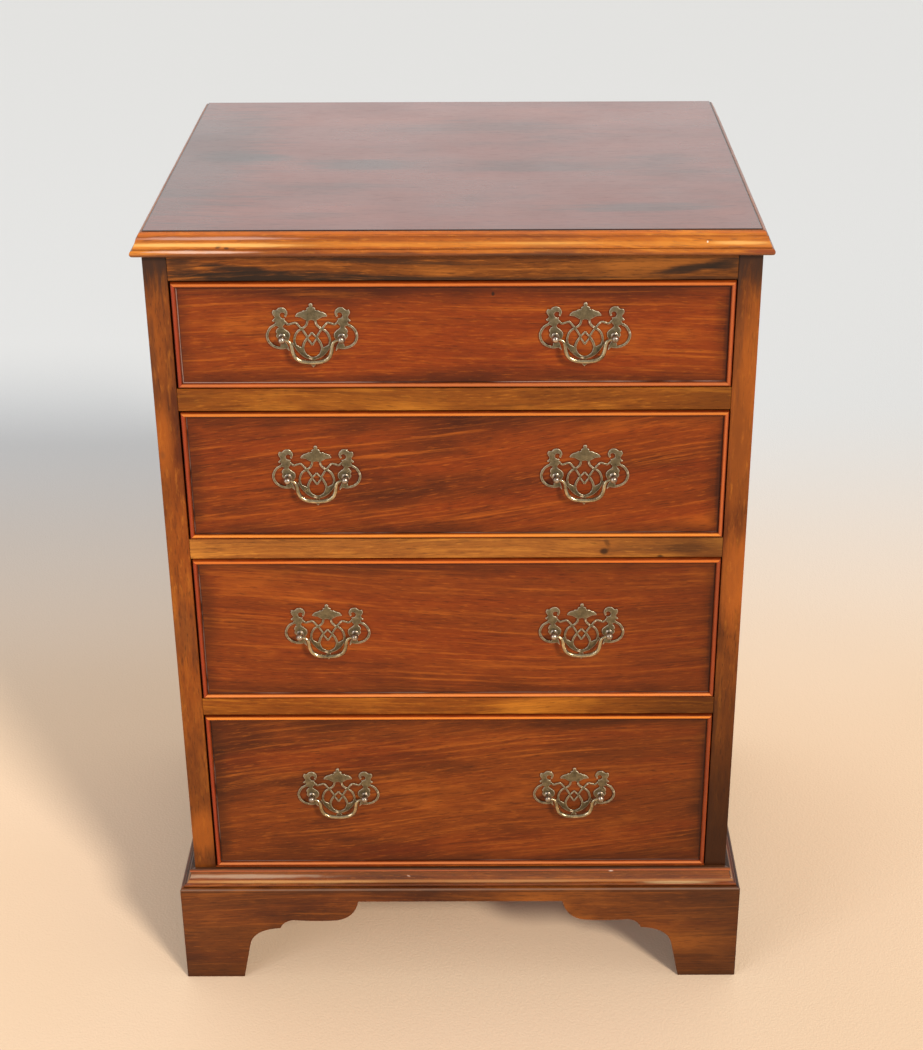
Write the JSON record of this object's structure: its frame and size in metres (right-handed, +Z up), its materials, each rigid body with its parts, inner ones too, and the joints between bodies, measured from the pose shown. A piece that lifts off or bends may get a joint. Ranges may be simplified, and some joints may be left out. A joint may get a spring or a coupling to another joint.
{
  "type": "bachelors chest",
  "caption": "Small mahogany chest with graduated full-width drawers, cock-beaded fronts, pierced brass bail pulls, a moulded top and a shaped bracket plinth.",
  "frame": {"origin": "middle of the plinth's outline at floor level", "axes": "+Z up, -Y towards the viewer of the drawer fronts, +X to that viewer's right"},
  "size_m": [0.542, 0.441, 0.762],
  "materials": {
    "drawer_mahogany": "red-brown mahogany with long streaky figure, polished",
    "case_mahogany": "honey-brown mottled mahogany, polished",
    "top_mahogany": "red-brown mahogany, high polish",
    "moulding_mahogany": "orange-brown mahogany, polished, rubbed along the edges",
    "plinth_mahogany": "dark red-brown mahogany, polished",
    "drawer_lining": "pale secondary wood, bare",
    "back_panel": "thin pale panel, bare",
    "brass": "aged brass, bright on the rubbed edges and bails"
  },
  "bodies": {
    "case": {"top_board": "top_mahogany", "side_left": "case_mahogany", "side_right": "case_mahogany", "top_rail_front": "case_mahogany", "top_rail_back": "drawer_lining", "drawer_rail_1": "case_mahogany", "drawer_rail_2": "case_mahogany", "drawer_rail_3": "case_mahogany", "runner_1_left": "drawer_lining", "runner_1_right": "drawer_lining", "runner_2_left": "drawer_lining", "runner_2_right": "drawer_lining", "runner_3_left": "drawer_lining", "runner_3_right": "drawer_lining", "bottom_board": "case_mahogany", "back_panel": "back_panel", "plinth_front": "plinth_mahogany", "plinth_left": "plinth_mahogany", "plinth_right": "plinth_mahogany", "plinth_back": "drawer_lining", "plinth_moulding_front": "moulding_mahogany", "plinth_moulding_left": "moulding_mahogany", "plinth_moulding_right": "moulding_mahogany"},
    "drawer_1": {"drawer_1_front": "drawer_mahogany", "drawer_1_left_side": "drawer_lining", "drawer_1_right_side": "drawer_lining", "drawer_1_back": "drawer_lining", "drawer_1_bottom": "back_panel", "pull_1_left_plate": "brass", "pull_1_right_plate": "brass"},
    "drawer_2": {"drawer_2_front": "drawer_mahogany", "drawer_2_left_side": "drawer_lining", "drawer_2_right_side": "drawer_lining", "drawer_2_back": "drawer_lining", "drawer_2_bottom": "back_panel", "pull_2_left_plate": "brass", "pull_2_right_plate": "brass"},
    "drawer_3": {"drawer_3_front": "drawer_mahogany", "drawer_3_left_side": "drawer_lining", "drawer_3_right_side": "drawer_lining", "drawer_3_back": "drawer_lining", "drawer_3_bottom": "back_panel", "pull_3_left_plate": "brass", "pull_3_right_plate": "brass"},
    "drawer_4": {"drawer_4_front": "drawer_mahogany", "drawer_4_left_side": "drawer_lining", "drawer_4_right_side": "drawer_lining", "drawer_4_back": "drawer_lining", "drawer_4_bottom": "back_panel", "pull_4_left_plate": "brass", "pull_4_right_plate": "brass"},
    "bail_1_left": {"pull_1_left_bail": "brass"},
    "bail_1_right": {"pull_1_right_bail": "brass"},
    "bail_2_left": {"pull_2_left_bail": "brass"},
    "bail_2_right": {"pull_2_right_bail": "brass"},
    "bail_3_left": {"pull_3_left_bail": "brass"},
    "bail_3_right": {"pull_3_right_bail": "brass"},
    "bail_4_left": {"pull_4_left_bail": "brass"},
    "bail_4_right": {"pull_4_right_bail": "brass"}
  },
  "joints": [
    {"name": "drawer_1_slide", "type": "slide", "parent": "case", "child": "drawer_1", "axis": [0, -1, 0], "range_m": [0, 0.32]},
    {"name": "drawer_2_slide", "type": "slide", "parent": "case", "child": "drawer_2", "axis": [0, -1, 0], "range_m": [0, 0.32]},
    {"name": "drawer_3_slide", "type": "slide", "parent": "case", "child": "drawer_3", "axis": [0, -1, 0], "range_m": [0, 0.32]},
    {"name": "drawer_4_slide", "type": "slide", "parent": "case", "child": "drawer_4", "axis": [0, -1, 0], "range_m": [0, 0.32]},
    {"name": "bail_1_left_swing", "type": "hinge", "parent": "drawer_1", "child": "bail_1_left", "pos_m": [-0.11895, -0.2147, 0.6695], "axis": [-1, 0, 0], "range_deg": [-10, 185]},
    {"name": "bail_1_right_swing", "type": "hinge", "parent": "drawer_1", "child": "bail_1_right", "pos_m": [0.11075, -0.2147, 0.6695], "axis": [-1, 0, 0], "range_deg": [-10, 185]},
    {"name": "bail_2_left_swing", "type": "hinge", "parent": "drawer_2", "child": "bail_2_left", "pos_m": [-0.12065, -0.2147, 0.5396], "axis": [-1, 0, 0], "range_deg": [-10, 185]},
    {"name": "bail_2_right_swing", "type": "hinge", "parent": "drawer_2", "child": "bail_2_right", "pos_m": [0.11285, -0.2147, 0.5396], "axis": [-1, 0, 0], "range_deg": [-10, 185]},
    {"name": "bail_3_left_swing", "type": "hinge", "parent": "drawer_3", "child": "bail_3_left", "pos_m": [-0.11755, -0.2147, 0.38315], "axis": [-1, 0, 0], "range_deg": [-10, 185]},
    {"name": "bail_3_right_swing", "type": "hinge", "parent": "drawer_3", "child": "bail_3_right", "pos_m": [0.11295, -0.2147, 0.38315], "axis": [-1, 0, 0], "range_deg": [-10, 185]},
    {"name": "bail_4_left_swing", "type": "hinge", "parent": "drawer_4", "child": "bail_4_left", "pos_m": [-0.11455, -0.2147, 0.20675], "axis": [-1, 0, 0], "range_deg": [-10, 185]},
    {"name": "bail_4_right_swing", "type": "hinge", "parent": "drawer_4", "child": "bail_4_right", "pos_m": [0.10915, -0.2147, 0.20675], "axis": [-1, 0, 0], "range_deg": [-10, 185]}
  ]
}
